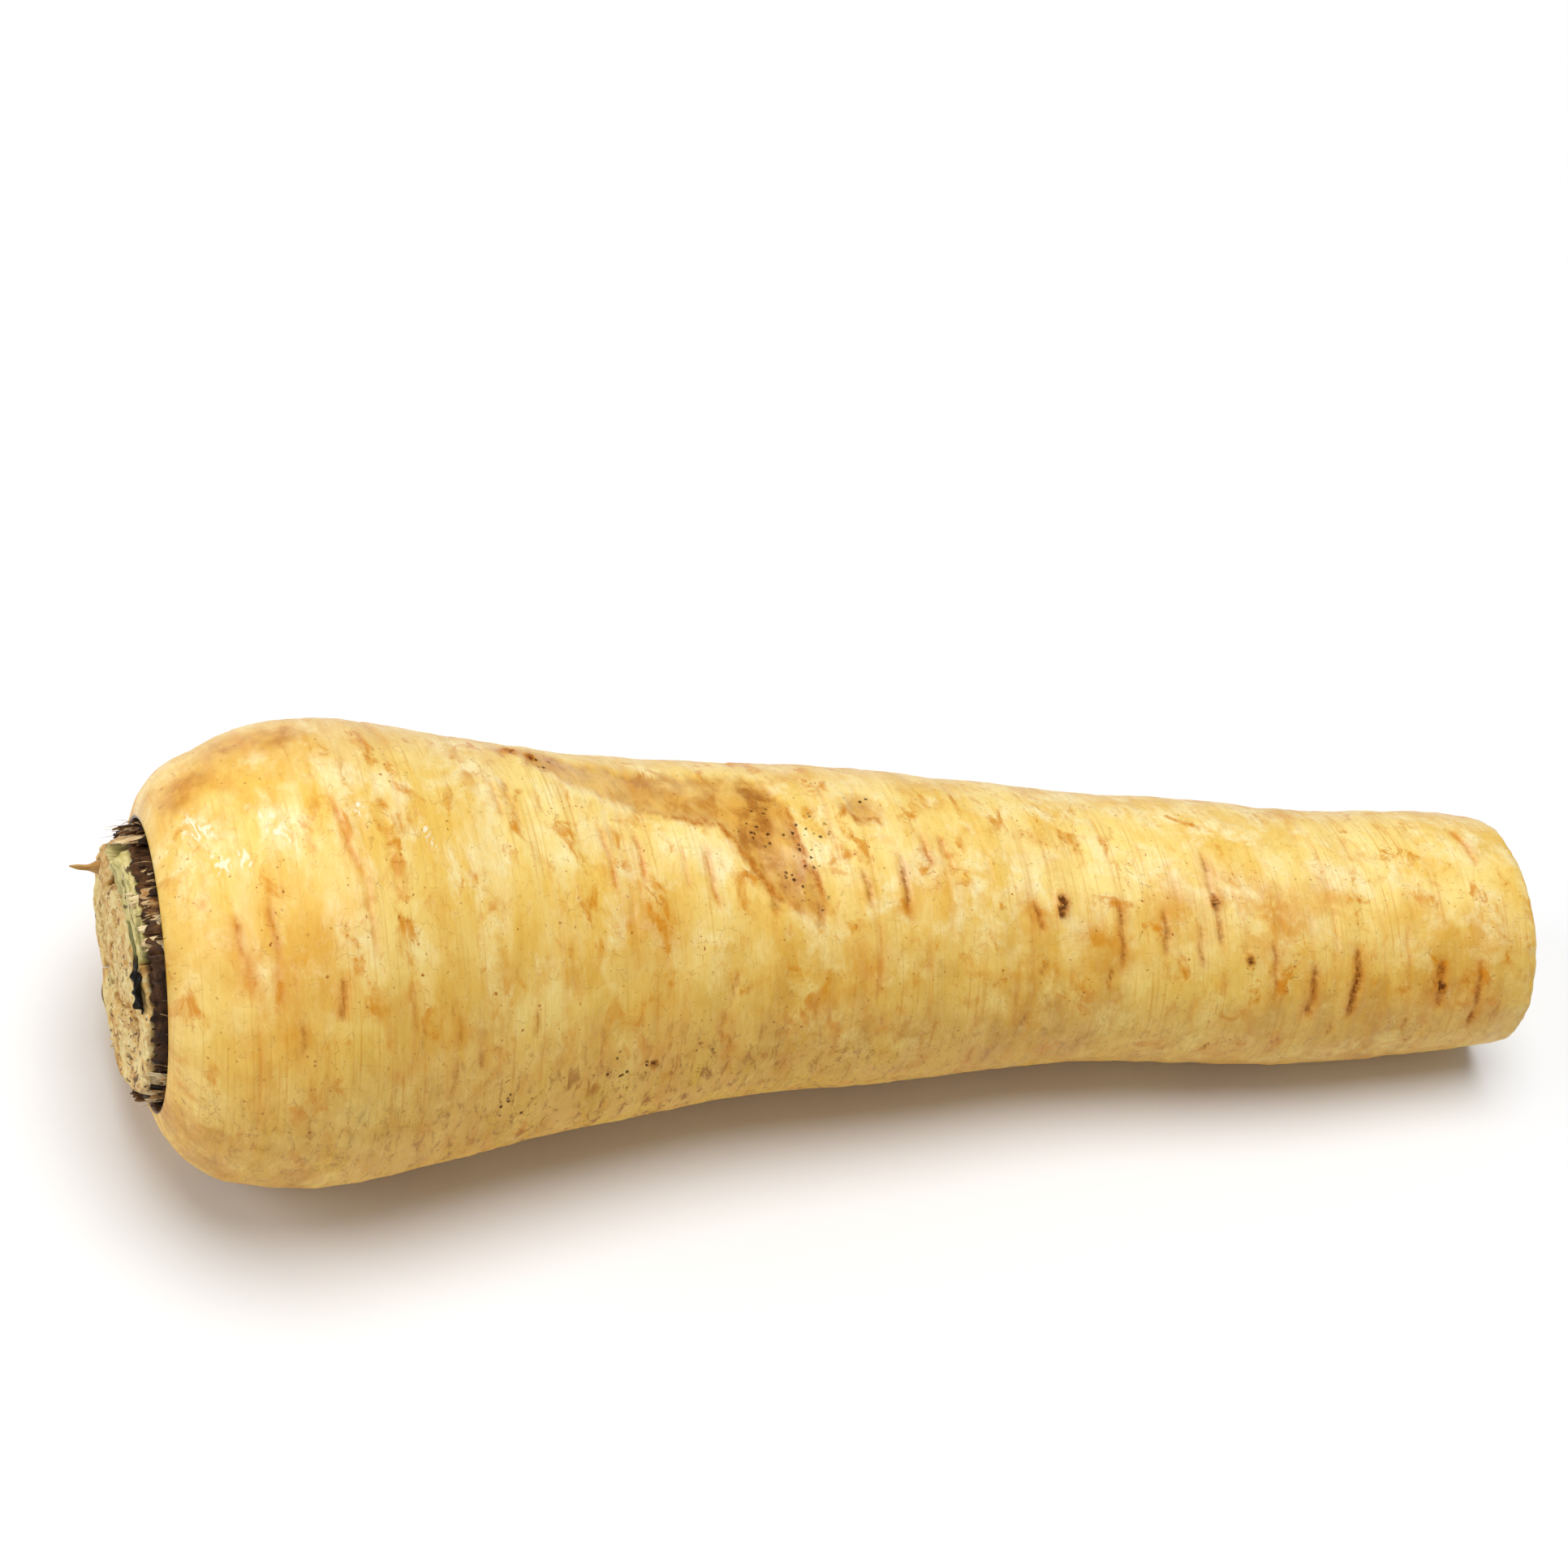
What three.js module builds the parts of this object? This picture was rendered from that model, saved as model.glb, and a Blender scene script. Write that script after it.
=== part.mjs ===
// A trimmed parsnip lying on its side: one taproot with a cut tail, and a hollow crown that holds
// the cut bases of the leaf stalks, the dried sheaths round them and two dried leaf remains.
// Millimetres, +Z up. The root runs along X, with its crown at -X and its cut tail at +X.
// The origin is on the ground, under the middle of the part's box.
import * as THREE from "three";

// Driving dimensions of the root
const rootLength = 205.6;
const shoulderRadius = 31.9;
const tailRadius = 17.4;
const rimRadius = 20.5;
const bellyFlat = 0.6;          // how far the resting side is pressed flat
const bellyHollow = 1.1;        // how far the middle of the resting side clears the ground
const sectionOval = 0.012;      // the root is a little wider than it is high
const rimSkew = -0.04;          // sideways lean of the crown's rim: millimetres forward per millimetre sideways
const tailSkew = -0.065;        // the same lean of the tail cut
const tailRound = 1.1;          // soft edge of the tail cut

// Driving dimensions of the crown
const hollowDepth = 5;
const hollowRadius = 19.9;
const stubSkew = -0.1;          // sideways lean of the cut stalks and of the hollow's floor
const stubHeight = 3.6;         // how far the cut stalks stand above the crown's rim
const stubRadius = 17.7;
const heartRadius = 6;
const innerRingRadius = 11.6;
const pieceGap = 0.4;
const sheathThickness = 1.2;
const remainThickness = 0.7;
const spikeLength = 4.4;

// Mesh fineness
const rootSides = 60;
const rootSlices = 44;
const stalkSteps = 14;

// Half-widths of the root: [share of its length, share of the shoulder's radius].
const sideOutline = [
  [0.005, 0.73], [0.018, 0.835], [0.04, 0.92], [0.075, 0.983], [0.115, 1], [0.165, 0.964],
  [0.24, 0.885], [0.33, 0.801], [0.43, 0.742], [0.53, 0.698], [0.65, 0.643], [0.77, 0.613],
  [0.88, 0.583], [0.96, 0.564], [1, 0.545],
];

// Sideways bends of the root's middle line: [share of its length, millimetres].
const bendOutline = [
  [0, -2.6], [0.05, -3.4], [0.12, -3.5], [0.2, -1.6], [0.28, 0.4], [0.37, 1.8], [0.5, 1.9], [0.63, 2.5],
  [0.83, 0.1], [1, 0.5],
];

// A smooth line through outline points, read at one share of the length.
function readOutline(points, share) {
  const last = points.length - 1;
  if (share <= points[0][0]) return points[0][1];
  if (share >= points[last][0]) return points[last][1];
  let i = 0;
  while (points[i + 1][0] < share) i += 1;
  const [x0, y0] = points[Math.max(i - 1, 0)];
  const [x1, y1] = points[i];
  const [x2, y2] = points[i + 1];
  const [x3, y3] = points[Math.min(i + 2, last)];
  const width = x2 - x1;
  const t = (share - x1) / width;
  const slopeIn = ((y2 - y0) / (x2 - x0)) * width;
  const slopeOut = ((y3 - y1) / (x3 - x1)) * width;
  const a = 2 * y1 - 2 * y2 + slopeIn + slopeOut;
  const b = -3 * y1 + 3 * y2 - 2 * slopeIn - slopeOut;
  return ((a * t + b) * t + slopeIn) * t + y1;
}

const sideRadius = (share) => shoulderRadius * readOutline(sideOutline, share);

const sideBend = (share) => readOutline(bendOutline, share);

// Height of the middle line: the root rests on its shoulder and near its tail.
function middleHeight(share) {
  const hollow = Math.sin(Math.PI * THREE.MathUtils.clamp((share - 0.22) / 0.62, 0, 1));
  const shoulderShare = Math.max(share, 0.04);
  return sideRadius(shoulderShare) * (1 - sectionOval) - bellyFlat + bellyHollow * hollow * hollow;
}

const sliceSkew = (share) => THREE.MathUtils.lerp(rimSkew, tailSkew, THREE.MathUtils.smoothstep(share, 0, 0.3));

// One ring of the root's skin, round the middle line at a share of the length.
function rootRing(x, radius, share, skew = sliceSkew(share), middleY = sideBend(share)) {
  const ring = [];
  for (let i = 0; i < rootSides; i += 1) {
    const angle = (2 * Math.PI * i) / rootSides;
    const side = radius * Math.cos(angle) * (1 + sectionOval);
    const up = radius * Math.sin(angle) * (1 - sectionOval);
    const height = Math.max(middleHeight(share) + up, 0);
    ring.push(new THREE.Vector3(x + skew * side, middleY + side, height));
  }
  return ring;
}

// A closed skin over a row of rings, with a fan over each end.
function closedLoft(rings) {
  const sides = rings[0].length;
  const middleOf = (ring) => ring.reduce((sum, p) => sum.add(p), new THREE.Vector3()).divideScalar(sides);
  const lastRing = rings.length - 1;
  const points = [middleOf(rings[0]), ...rings.flat(), middleOf(rings[lastRing])];
  const at = (ring, side) => 1 + ring * sides + (side % sides);
  const faces = [];
  for (let side = 0; side < sides; side += 1) {
    faces.push(0, at(0, side + 1), at(0, side));
    for (let ring = 0; ring < lastRing; ring += 1) {
      faces.push(at(ring, side), at(ring + 1, side + 1), at(ring + 1, side));
      faces.push(at(ring, side), at(ring, side + 1), at(ring + 1, side + 1));
    }
    faces.push(points.length - 1, at(lastRing, side), at(lastRing, side + 1));
  }
  const geometry = new THREE.BufferGeometry();
  geometry.setAttribute("position", new THREE.Float32BufferAttribute(points.flatMap((p) => p.toArray()), 3));
  geometry.setIndex(faces);
  geometry.computeVertexNormals();
  return geometry;
}

// The taproot, from the floor of the crown's hollow over its rim and along the side to the tail cut.
function makeRoot() {
  const hollowRings = [
    [hollowDepth, hollowRadius - 1],
    [hollowDepth - 0.8, hollowRadius - 0.1],
    [1.2, hollowRadius],
  ];
  const hollowRing = ([depth, radius]) =>
    rootRing(depth - rootLength / 2, radius, 0, stubSkew, sideBend(0) - stubSkew * depth);
  const rings = hollowRings.map(hollowRing);
  rings.push(rootRing(-rootLength / 2, rimRadius, 0));
  const firstShare = sideOutline[0][0];
  const sideShare = 1 - tailRound / rootLength - firstShare;
  for (let i = 0; i <= rootSlices; i += 1) {
    const even = i / rootSlices;
    const share = firstShare + sideShare * even * (0.5 + 0.5 * even);   // slices crowd at the shoulder
    rings.push(rootRing((share - 0.5) * rootLength, sideRadius(share), share));
  }
  rings.push(rootRing(rootLength / 2 - 0.3, tailRadius - 0.35, 1));
  rings.push(rootRing(rootLength / 2, tailRadius - tailRound, 1));
  return closedLoft(rings);
}

// A bent lens-shaped outline between two angles, thickest in its middle, closed on itself.
function crescentShape(middleRadius, thickness, fromDegrees, toDegrees) {
  const outer = [];
  const inner = [];
  for (let i = 0; i <= stalkSteps; i += 1) {
    const across = (2 * i) / stalkSteps - 1;
    const angle = THREE.MathUtils.degToRad(fromDegrees + ((across + 1) / 2) * (toDegrees - fromDegrees));
    const half = (thickness / 2) * (1 - 0.78 * across ** 4);
    outer.push(new THREE.Vector2(Math.cos(angle), Math.sin(angle)).multiplyScalar(middleRadius + half));
    inner.unshift(new THREE.Vector2(Math.cos(angle), Math.sin(angle)).multiplyScalar(middleRadius - half));
  }
  return new THREE.Shape([...outer, ...inner]);
}

// A piece of the crown that stands along the crown's axis between two heights above the rim.
function standingPiece(shape, bottom, top) {
  const geometry = new THREE.ExtrudeGeometry(shape, { depth: top - bottom, bevelEnabled: false, curveSegments: 10 });
  geometry.translate(0, 0, bottom);
  return geometry;
}

function makeHeart() {
  const shape = new THREE.Shape();
  shape.absellipse(0, 0, heartRadius, heartRadius * 0.9, 0, 2 * Math.PI);
  return standingPiece(shape, pieceGap - hollowDepth, stubHeight - 0.3);
}

// One stalk base: its place in its ring is given by two angles from the crown's near side.
function makeStalk(innerRadius, outerRadius, fromDegrees, toDegrees, lowered) {
  const shape = crescentShape((innerRadius + outerRadius) / 2, outerRadius - innerRadius, fromDegrees, toDegrees);
  return standingPiece(shape, pieceGap - hollowDepth, stubHeight - lowered);
}

// One dried sheath, which starts above the rounded foot of the hollow's wall.
function makeSheath(fromDegrees, toDegrees, top) {
  const middleRadius = stubRadius + pieceGap + sheathThickness / 2;
  const shape = crescentShape(middleRadius, sheathThickness, fromDegrees, toDegrees);
  return standingPiece(shape, 1.4 - hollowDepth, top);
}

// The tan dried tip of a stalk, which points away from the crown.
function makeSpike() {
  const geometry = new THREE.ConeGeometry(1, spikeLength, 10);
  geometry.rotateX(Math.PI / 2);
  geometry.scale(1.1, 0.6, 1);
  geometry.translate(0, 0, spikeLength / 2);
  return geometry;
}

// The shrivelled shred of leaf, lying along the edge of the cut stalks.
function makeShred() {
  const shape = crescentShape(stubRadius - 1.3, 1.9, 36, 74);
  return standingPiece(shape, 0, remainThickness);
}

function namedMesh(name, geometry, colour, roughness) {
  const mesh = new THREE.Mesh(geometry, new THREE.MeshStandardMaterial({ color: colour, roughness, metalness: 0 }));
  mesh.name = name;
  return mesh;
}

// The crown stands on the rim's plane: its own X points to the near side, Y up and Z out of the crown.
function makeCrown() {
  const crown = new THREE.Group();
  const out = new THREE.Vector3(-1, stubSkew, 0).normalize();
  const up = new THREE.Vector3(0, 0, 1);
  crown.quaternion.setFromRotationMatrix(new THREE.Matrix4().makeBasis(up.clone().cross(out), up, out));
  crown.position.set(-rootLength / 2, sideBend(0), middleHeight(0));
  crown.add(namedMesh("crown_heart", makeHeart(), 0xd9bd8c, 0.7));

  const innerStalks = [[12, 124, 0.2], [131, 246, 0], [253, 365, 0.5]];
  innerStalks.forEach(([from, to, lowered], i) => {
    const geometry = makeStalk(heartRadius + pieceGap, innerRingRadius, from, to, lowered);
    crown.add(namedMesh(`inner_stalk_${i + 1}`, geometry, 0xd8c08c, 0.7));
  });

  const outerStalks = [[58, 142, 0], [147, 232, 0.3], [237, 318, 0.1], [323, 413, 0.4]];
  outerStalks.forEach(([from, to, lowered], i) => {
    const geometry = makeStalk(innerRingRadius + pieceGap, stubRadius, from, to, lowered);
    crown.add(namedMesh(`outer_stalk_${i + 1}`, geometry, i === 0 ? 0xbcbd76 : 0xd6bf8b, 0.7));
  });

  const sheaths = [
    [8, 58, 2.6], [60, 103, 1.8], [106, 158, 1.4], [161, 214, 0.8], [217, 262, 1.5], [265, 314, 2.4],
    [317, 365, 2.9],
  ];
  sheaths.forEach(([from, to, top], i) => {
    crown.add(namedMesh(`dry_sheath_${i + 1}`, makeSheath(from, to, top), 0x3d281b, 0.8));
  });

  const spike = namedMesh("dried_spike", makeSpike(), 0xb88b4e, 0.75);
  const spikeAngle = THREE.MathUtils.degToRad(168);
  const spikeRadius = stubRadius - 2.4;
  spike.position.set(
    spikeRadius * Math.cos(spikeAngle),
    spikeRadius * Math.sin(spikeAngle),
    stubHeight + pieceGap,
  );
  crown.add(spike);

  const shred = namedMesh("leaf_shred", makeShred(), 0x17120f, 0.85);
  shred.position.z = stubHeight + pieceGap;
  crown.add(shred);
  return crown;
}

const parsnip = new THREE.Group();
parsnip.add(namedMesh("root", makeRoot(), 0xe4c46c, 0.5));
parsnip.add(makeCrown());
parsnip.updateMatrixWorld(true);
const box = new THREE.Box3().setFromObject(parsnip, true);
const middle = box.getCenter(new THREE.Vector3());
parsnip.position.set(-middle.x, -middle.y, -box.min.z);

export default parsnip;
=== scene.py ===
import math
import random

import bmesh
import bpy
import numpy as np
from mathutils import Matrix, Vector, noise


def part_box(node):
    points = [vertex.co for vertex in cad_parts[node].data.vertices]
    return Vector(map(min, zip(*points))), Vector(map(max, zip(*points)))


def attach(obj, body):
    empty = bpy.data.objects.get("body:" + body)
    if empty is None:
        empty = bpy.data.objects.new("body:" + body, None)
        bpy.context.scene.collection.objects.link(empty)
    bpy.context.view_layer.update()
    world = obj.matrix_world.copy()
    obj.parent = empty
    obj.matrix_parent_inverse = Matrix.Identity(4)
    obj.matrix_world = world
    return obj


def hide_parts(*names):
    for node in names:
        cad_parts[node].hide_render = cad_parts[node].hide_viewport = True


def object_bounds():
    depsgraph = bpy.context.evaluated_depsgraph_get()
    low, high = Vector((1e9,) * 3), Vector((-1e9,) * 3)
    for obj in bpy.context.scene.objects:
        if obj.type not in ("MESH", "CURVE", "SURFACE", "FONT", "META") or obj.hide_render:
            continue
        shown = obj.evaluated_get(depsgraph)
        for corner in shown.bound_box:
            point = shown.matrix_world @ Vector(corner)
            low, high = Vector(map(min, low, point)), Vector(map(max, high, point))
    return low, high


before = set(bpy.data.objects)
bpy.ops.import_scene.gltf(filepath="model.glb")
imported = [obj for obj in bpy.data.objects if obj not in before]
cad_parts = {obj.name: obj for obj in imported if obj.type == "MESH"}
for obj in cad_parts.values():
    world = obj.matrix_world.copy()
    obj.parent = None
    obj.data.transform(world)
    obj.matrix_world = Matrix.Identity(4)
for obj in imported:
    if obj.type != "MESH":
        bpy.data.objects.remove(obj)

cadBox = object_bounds()
mm = 0.001


def smoothStep(value, low, high):
    t = np.clip((value - low) / (high - low), 0, 1)
    return t * t * (3 - 2 * t)


def turnGap(turn, centre):
    # signed gap between two turns round the root, in degrees
    return (turn - centre + 180) % 360 - 180


def noiseOver(points, size, detail, seed):
    # fractal noise, about -1 to 1, at points or at a tuple of their x, y and z
    if isinstance(points, tuple):
        points = np.column_stack(points)
    shift = Vector((seed, 3.7 * seed, 1.3 * seed))
    values = [noise.fractal(Vector(p) / size + shift, 1.0, 2.0, detail) for p in points]
    return np.array(values)


def readOutline(points, share):
    # a smooth line through (share, value) points, the same one that shapes the solid
    x = np.array([p[0] for p in points])
    y = np.array([p[1] for p in points])
    last = len(x) - 1
    share = np.clip(share, x[0], x[-1])
    i = np.clip(np.searchsorted(x, share, side="left") - 1, 0, last - 1)
    before = np.maximum(i - 1, 0)
    after = np.minimum(i + 2, last)
    width = x[i + 1] - x[i]
    t = (share - x[i]) / width
    slopeIn = (y[i + 1] - y[before]) / (x[i + 1] - x[before]) * width
    slopeOut = (y[after] - y[i]) / (x[after] - x[i]) * width
    a = 2 * y[i] - 2 * y[i + 1] + slopeIn + slopeOut
    b = -3 * y[i] + 3 * y[i + 1] - 2 * slopeIn - slopeOut
    return ((a * t + b) * t + slopeIn) * t + y[i]


def meshPoints(mesh):
    points = np.empty(len(mesh.vertices) * 3)
    mesh.vertices.foreach_get("co", points)
    return points.reshape(-1, 3)


def meshFrom(built, name):
    mesh = bpy.data.meshes.new(name)
    built.to_mesh(mesh)
    built.free()
    return mesh


def newObject(name, data):
    made = bpy.data.objects.new(name, data)
    bpy.context.scene.collection.objects.link(made)
    return made


def setMeshPoints(mesh, points):
    mesh.vertices.foreach_set("co", np.asarray(points, float).ravel())
    mesh.update()


def addAttribute(mesh, name, values):
    values = np.asarray(values, float)
    kind, key = ("FLOAT_VECTOR", "vector") if values.ndim == 2 else ("FLOAT", "value")
    mesh.attributes.new(name, kind, "POINT").data.foreach_set(key, values.ravel())


def finishPiece(mesh, name, material, replacedNode):
    # smooth faces, one material, riding on the root body in place of its solid
    mesh.polygons.foreach_set("use_smooth", [True] * len(mesh.polygons))
    mesh.materials.append(material)
    piece = newObject(name, mesh)
    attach(piece, "root")
    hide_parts(replacedNode)


def linear(*levels):
    # a colour picked as 0 to 255 levels, made linear
    shares = [level / 255 for level in levels]
    return tuple(x / 12.92 if x <= 0.04045 else ((x + 0.055) / 1.055) ** 2.4 for x in shares) + (1.0,)


def addNode(tree, kind, inputs=None, **settings):
    # inputs may be sockets, which are linked, or plain values
    made = tree.nodes.new("ShaderNode" + kind)
    for name, value in settings.items():
        setattr(made, name, value)
    for key, value in (inputs or {}).items():
        if isinstance(value, bpy.types.NodeSocket):
            tree.links.new(value, made.inputs[key])
        else:
            made.inputs[key].default_value = value
    return made


def newSurface(name, finish):
    # a material with only its shader, set to a finish; returns (material, tree, shader)
    material = bpy.data.materials.new(name)
    material.use_nodes = True
    tree = material.node_tree
    tree.nodes.clear()
    shader = addNode(tree, "BsdfPrincipled", finish)
    output = addNode(tree, "OutputMaterial")
    tree.links.new(shader.outputs[0], output.inputs[0])
    return material, tree, shader


def readMark(tree, name, output="Fac"):
    return addNode(tree, "Attribute", attribute_name=name).outputs[output]


def stretched(vector, scale):
    return addNode(vector.id_data, "Mapping", {"Vector": vector, "Scale": scale}).outputs[0]


def noiseAt(vector, scale, detail, roughness, distortion=0.0):
    # three scales draw the pattern out
    if isinstance(scale, tuple):
        vector = stretched(vector, scale)
        scale = 1
    inputs = {"Vector": vector, "Scale": scale, "Detail": detail, "Roughness": roughness,
              "Distortion": distortion}
    return addNode(vector.id_data, "TexNoise", inputs).outputs[0]


def wobbled(vector, scale, amount):
    # the same place, pushed about by a noise
    tree = vector.id_data
    push = addNode(tree, "TexNoise", {"Vector": vector, "Scale": scale, "Detail": 2.0}).outputs[1]
    push = stretched(push, (amount, amount, amount))
    return addNode(tree, "VectorMath", {0: vector, 1: push}).outputs[0]


def between(value, low, high, toLow=0.0, toHigh=1.0):
    # a soft step of a value from low to high
    inputs = {"Value": value, "From Min": low, "From Max": high, "To Min": toLow, "To Max": toHigh}
    return addNode(value.id_data, "MapRange", inputs, interpolation_type="SMOOTHSTEP").outputs[0]


def maths(operation, first, second):
    return addNode(first.id_data, "Math", {0: first, 1: second}, operation=operation).outputs[0]


def times(first, second):
    return maths("MULTIPLY", first, second)


def larger(first, second):
    return maths("MAXIMUM", first, second)


def mixColour(factor, first, second):
    return addNode(factor.id_data, "Mix", {0: factor, 6: first, 7: second}, data_type="RGBA").outputs[2]


def dotsAt(vector, scale, size, chance):
    # small soft dots in some of the cells of a cell pattern
    cells = addNode(vector.id_data, "TexVoronoi", {"Vector": vector, "Scale": scale})
    inside = between(cells.outputs["Distance"], size, size * 0.45)
    picked = addNode(vector.id_data, "SeparateColor", {0: cells.outputs["Color"]})
    return times(inside, maths("LESS_THAN", picked.outputs[0], chance))


def bumpFrom(height, strength, distance, normal=None):
    inputs = {"Height": height, "Strength": strength, "Distance": distance}
    if normal is not None:
        inputs["Normal"] = normal
    return addNode(height.id_data, "Bump", inputs).outputs[0]


rootShape = {
    "length": 205.6 * mm,          # crown rim to tail cut
    "shoulderRadius": 31.9 * mm,
    "hollowEdge": 20.32 * mm,
    "hollowDepth": 5.0 * mm,
    "bellyFlat": 0.6 * mm,
    "bellyHollow": 1.1 * mm,
    "sectionOval": 0.012,
    "rimSkew": -0.04,
    "tailSkew": -0.065,
    "stubSkew": -0.1,
    "tailRound": 1.1 * mm,
    "sides": 160,
    # rough line that is spun: depth from the rim, radius, cuts up to the next corner
    "profile": [
        (5, 0, 4), (5, 18.4, 0), (4.5, 19.6, 2), (0.9, 19.95, 0), (0.3, 20.05, 0), (0.02, 20.3, 0),
        (0, 20.6, 0), (0.12, 21.2, 563), (204.5, 17.4, 0), (205.05, 17.32, 0), (205.45, 17.1, 0),
        (205.6, 16.7, 10), (205.6, 0, 0),
    ],
    # half-widths: (share of the length, share of the shoulder's radius)
    "outline": [
        (0.005, 0.73), (0.018, 0.835), (0.04, 0.92), (0.075, 0.983), (0.115, 1), (0.165, 0.964),
        (0.24, 0.885), (0.33, 0.801), (0.43, 0.742), (0.53, 0.698), (0.65, 0.643), (0.77, 0.613),
        (0.88, 0.583), (0.96, 0.564), (1, 0.545),
    ],
    # sideways bends: (share of the length, millimetres)
    "bend": [
        (0, -2.6), (0.05, -3.4), (0.12, -3.5), (0.2, -1.6), (0.28, 0.4), (0.37, 1.8), (0.5, 1.9),
        (0.63, 2.5), (0.83, 0.1), (1, 0.5),
    ],
}

# Marks on the skin: along is millimetres from the crown's rim, turn is degrees round the root,
# with 90 on top and 180 on the near side.
skinMarks = {
    # how many of each are scattered besides the placed ones
    "nearScratches": 46, "farCreases": 34, "hairlines": 190,
    # along, first turn, last turn, lean in millimetres, amber, dark
    "creases": [
        (9.0, 112, 134, 0.9, 0.9, 0.35), (12.8, 108, 138, 0.3, 0.6, 0.15), (15.7, 141, 149, 0, 0.5, 0.5),
        (20.8, 130, 141, 0, 0.9, 0.5), (23.6, 83, 110, 3.2, 0.8, 0.1), (25.4, 104, 127, 0.2, 0.45, 0.05),
        (30.2, 133, 146, 0, 0.4, 0.1), (36.4, 142, 152, -0.4, 0.6, 0.45),
        (36.0, 154, 168, -0.5, 0.35, 0.25), (39.8, 147, 160, 0, 0.5, 0.45), (46.2, 74, 90, 0.8, 0.5, 0.2),
        (48.4, 74, 92, 0.8, 0.55, 0.25), (53.5, 126, 142, 0, 0.3, 0.05),
        (57.8, 150, 178, -0.8, 0.35, 0.25), (60.8, 90, 112, 0.6, 0.75, 0.1),
        (65.6, 92, 110, 0.5, 0.6, 0.1), (72.0, 98, 112, 0.3, 0.4, 0.05), (75.8, 96, 118, 0.5, 0.6, 0.1),
        (76.0, 152, 164, -0.7, 0.55, 0.35), (93.6, 160, 178, -1.2, 0.5, 0.3),
        (98.6, 104, 118, 0.3, 0.6, 0.45), (99.4, 120, 152, 0, 0.45, 0.2),
        (104.6, 98, 123, 0.6, 0.75, 0.5), (109.0, 88, 103, 0.7, 0.8, 0.2),
        (112.0, 90, 104, 0.7, 0.7, 0.2), (121.0, 148, 170, -0.6, 0.3, 0.1),
        (124.6, 116, 128, 0.5, 0.7, 0.5), (137.6, 113, 146, 0, 0.65, 0.45),
        (144.6, 116, 137, 0.2, 0.6, 0.5), (150.2, 122, 141, 0, 0.4, 0.3),
        (153.0, 88, 137, 0.9, 0.5, 0.35), (157.2, 130, 139, 0, 0.4, 0.4),
        (161.6, 128, 156, -0.4, 0.7, 0.4), (167.6, 138, 166, -0.9, 0.9, 0.85),
        (174.6, 128, 165, -0.9, 0.85, 0.85), (177.4, 72, 90, 0.5, 0.35, 0.05),
        (183.6, 120, 152, 0, 0.35, 0.1), (189.0, 138, 164, -0.7, 0.95, 0.9),
        (195.6, 138, 178, -1.1, 0.85, 0.7), (197.2, 68, 92, 1.2, 0.8, 0.1),
    ],
    # along, turn, radius in millimetres, height in millimetres
    "lumps": [
        (103, 52, 13, 0.8), (156, 50, 12, 0.8), (128, 60, 12, 0.2), (73, 62, 9, -0.5), (54, 58, 4, 0.7),
        (88, 82, 8, 0.25), (84, 104, 6, -0.25), (18, 225, 9, 0.5), (30, 40, 16, 0.5), (176, 190, 12, 0.3),
        (64, 196, 12, 0.5), (140, 230, 14, -0.4), (110, 330, 16, 0.7), (50, 320, 14, -0.6),
        (165, 350, 12, 0.5),
    ],
    # dark woody knots: along, turn, radius in millimetres
    "knots": [
        (129.0, 116.5, 0.75), (128.4, 120.0, 0.5), (153.0, 112.5, 0.65), (51.6, 57.0, 0.8),
        (54.2, 60.0, 0.5), (189.3, 152, 0.6), (66, 169, 0.5), (157.6, 137, 0.45), (122, 300, 0.9),
        (70, 262, 0.7),
    ],
    # chains of discs that run together: along, turn, radius in millimetres
    "tan": [
        (52, 57, 2.6), (56, 61, 3.6), (60, 65, 4.4), (65, 70, 5.0), (70, 72, 5.2), (75, 73, 5.6),
        (80, 74, 5.8), (84, 76, 5.6), (84, 85, 5.2), (85, 93, 4.6), (86, 101, 3.8), (88, 109, 3.2),
        (90, 116, 2.0), (5, 66, 3.6), (12, 53, 3.4), (18, 57, 3.4), (101, 78, 2.5),
    ],
    "bruise": [
        (85.4, 69, 2.4), (85.6, 77, 2.7), (84.6, 86, 2.6), (83.6, 94, 2.2), (83.2, 102, 1.7),
        (83.8, 110, 1.1), (84.6, 117, 0.6), (88.4, 94, 1.2), (89.6, 103, 0.9), (90.2, 111, 0.8),
        (90.6, 117, 0.7), (90.8, 123, 0.5), (54, 59, 1.4),
    ],
    "pepper": [
        (91, 90, 4.0), (89, 98, 4.0), (90, 107, 3.8), (92, 115, 3.0), (84, 90, 3.0), (86, 78, 2.4),
        (56, 62, 2.2), (101, 76, 2.4), (62, 170, 4.0), (45, 176, 4.0), (73, 168, 3.0),
    ],
    # soft orange patches: along, turn, radius in millimetres, strength
    "patches": [
        (129, 92, 3.5, 0.6), (124, 121, 3.0, 0.9), (134, 132, 4.2, 0.9), (121, 143, 3.2, 0.6),
        (147, 117, 5.0, 0.7), (155, 108, 4.0, 0.8), (162, 118, 6.0, 0.9), (171, 108, 4.5, 0.6),
        (187, 118, 5.0, 0.45), (197, 128, 5.0, 0.6), (98, 142, 5.0, 0.7), (66, 123, 5.0, 0.6),
        (14, 126, 8.0, 0.6), (13, 146, 7.0, 0.5), (17, 60, 9.0, 0.5), (189, 157, 5.0, 0.6),
        (110, 108, 5.0, 0.4), (8, 70, 7.0, 0.5), (66, 145, 5, 0.4), (42, 170, 7, 0.6), (195, 172, 6, 0.5),
    ],
    # pale worn flakes, painted whiter as a painted highlight of the light they catch: along, turn, length
    # along and round in millimetres
    "flakes": [
        (5.6, 85, 1.3, 2.6), (7.4, 96, 1.2, 1.8), (15.2, 93, 1.6, 3.0), (13.0, 87, 0.9, 1.8),
        (35, 97, 0.9, 1.9), (10.6, 99, 0.7, 1.4), (26, 88, 0.8, 1.6),
    ],
}


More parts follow.
